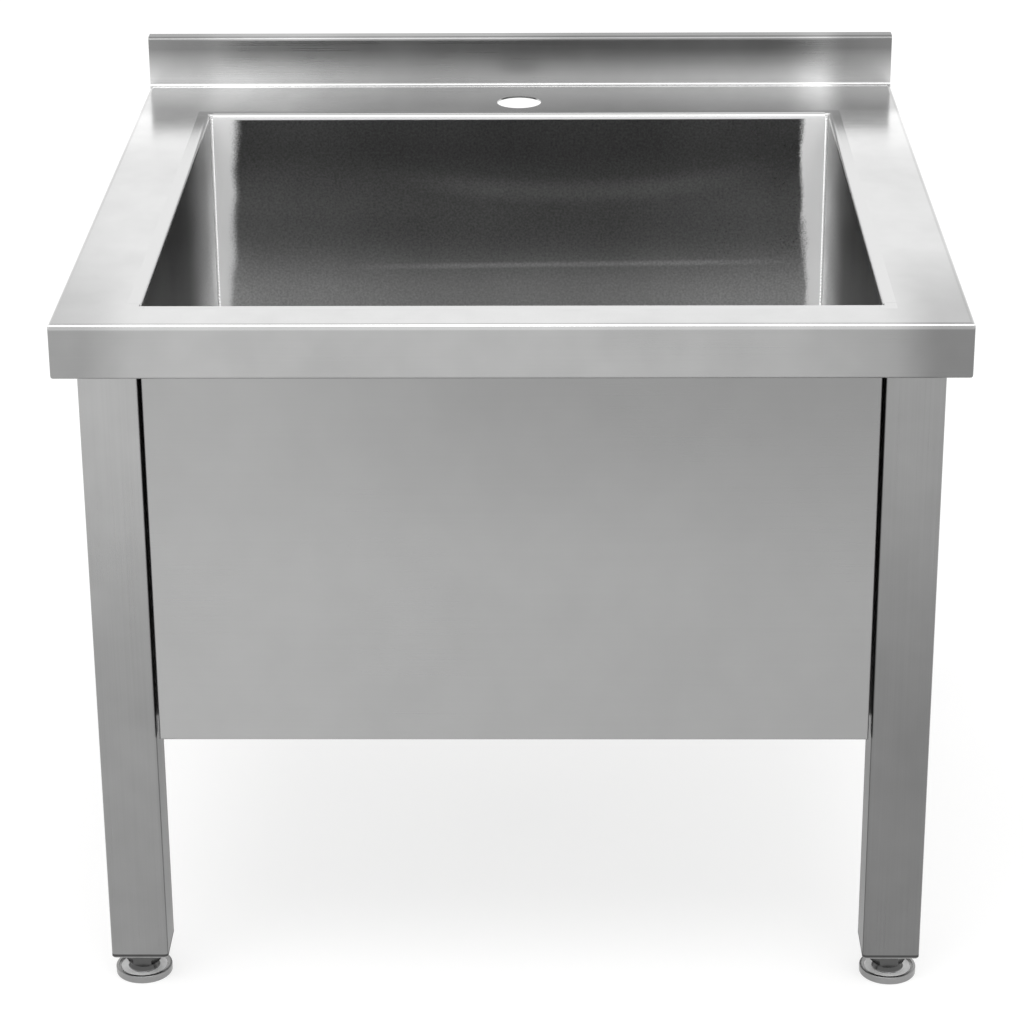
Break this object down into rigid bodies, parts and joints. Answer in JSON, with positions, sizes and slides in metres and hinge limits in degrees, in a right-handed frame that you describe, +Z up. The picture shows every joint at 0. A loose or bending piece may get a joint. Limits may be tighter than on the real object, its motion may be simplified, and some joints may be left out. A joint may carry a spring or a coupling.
{
  "type": "utility sink",
  "caption": "Low free-standing utility sink: a deep square bowl welded into a folded steel worktop with a low upstand, on square tube legs with screw-down feet.",
  "frame": {"origin": "on the floor under the middle of the sink, with the feet as set in use", "axes": "+X to the right of someone who stands in front, +Y to the wall behind, +Z up"},
  "size_m": [0.6, 0.6, 0.54],
  "materials": {
    "brushed_stainless": "brushed, satin",
    "bowl_stainless": "brushed, satin",
    "apron_stainless": "brushed, fine matt",
    "leg_stainless": "brushed along its length",
    "rail_stainless": "mill",
    "drain_stainless": "bright pressed",
    "foot_steel": "bright turned",
    "plug_plastic": "moulded grey",
    "drain_plastic": "moulded white",
    "gasket_rubber": "matt black"
  },
  "bodies": {
    "root": {"worktop": "brushed_stainless", "bowl": "bowl_stainless", "front_apron": "apron_stainless", "left_apron": "apron_stainless", "right_apron": "apron_stainless", "left_rail": "rail_stainless", "right_rail": "rail_stainless", "rear_rail": "rail_stainless", "drain_flange": "drain_stainless", "drain_upper_gasket": "gasket_rubber", "drain_lower_gasket": "gasket_rubber", "drain_body": "drain_plastic", "drain_clamp_screw": "drain_stainless", "front_left_leg": "leg_stainless", "front_left_plug": "plug_plastic", "front_right_leg": "leg_stainless", "front_right_plug": "plug_plastic", "rear_left_leg": "leg_stainless", "rear_left_plug": "plug_plastic", "rear_right_leg": "leg_stainless", "rear_right_plug": "plug_plastic"},
    "basket": {"basket": "drain_stainless", "basket_seal": "gasket_rubber", "basket_handle": "drain_stainless"},
    "front_left_pad": {"front_left_foot_pad": "foot_steel"},
    "front_left_stem": {"front_left_foot_stem": "foot_steel"},
    "front_right_pad": {"front_right_foot_pad": "foot_steel"},
    "front_right_stem": {"front_right_foot_stem": "foot_steel"},
    "rear_left_pad": {"rear_left_foot_pad": "foot_steel"},
    "rear_left_stem": {"rear_left_foot_stem": "foot_steel"},
    "rear_right_pad": {"rear_right_foot_pad": "foot_steel"},
    "rear_right_stem": {"rear_right_foot_stem": "foot_steel"}
  },
  "joints": [
    {"name": "basket_lift", "type": "slide", "parent": "root", "child": "basket", "axis": [0, 0, 1], "range_m": [0, 0.39]},
    {"name": "front_left_foot_slide", "type": "slide", "parent": "root", "child": "front_left_pad", "axis": [0, 0, -1], "range_m": [-0.00168, 0.025]},
    {"name": "front_left_stem_turn", "type": "hinge", "parent": "front_left_pad", "child": "front_left_stem", "pos_m": [-0.265, -0.265, 0.014], "axis": [0, 0, -1], "range_deg": [-346, 5144]},
    {"name": "front_right_foot_slide", "type": "slide", "parent": "root", "child": "front_right_pad", "axis": [0, 0, -1], "range_m": [-0.00168, 0.025]},
    {"name": "front_right_stem_turn", "type": "hinge", "parent": "front_right_pad", "child": "front_right_stem", "pos_m": [0.265, -0.265, 0.014], "axis": [0, 0, -1], "range_deg": [-346, 5144]},
    {"name": "rear_left_foot_slide", "type": "slide", "parent": "root", "child": "rear_left_pad", "axis": [0, 0, -1], "range_m": [-0.00168, 0.025]},
    {"name": "rear_left_stem_turn", "type": "hinge", "parent": "rear_left_pad", "child": "rear_left_stem", "pos_m": [-0.265, 0.265, 0.014], "axis": [0, 0, -1], "range_deg": [-346, 5144]},
    {"name": "rear_right_foot_slide", "type": "slide", "parent": "root", "child": "rear_right_pad", "axis": [0, 0, -1], "range_m": [-0.00168, 0.025]},
    {"name": "rear_right_stem_turn", "type": "hinge", "parent": "rear_right_pad", "child": "rear_right_stem", "pos_m": [0.265, 0.265, 0.014], "axis": [0, 0, -1], "range_deg": [-346, 5144]}
  ],
  "couplings": [
    {"joint": "front_left_stem_turn", "follows": "front_left_foot_slide", "rad_per_m": 3590.4},
    {"joint": "front_right_stem_turn", "follows": "front_right_foot_slide", "rad_per_m": 3590.4},
    {"joint": "rear_left_stem_turn", "follows": "rear_left_foot_slide", "rad_per_m": 3590.4},
    {"joint": "rear_right_stem_turn", "follows": "rear_right_foot_slide", "rad_per_m": 3590.4}
  ]
}
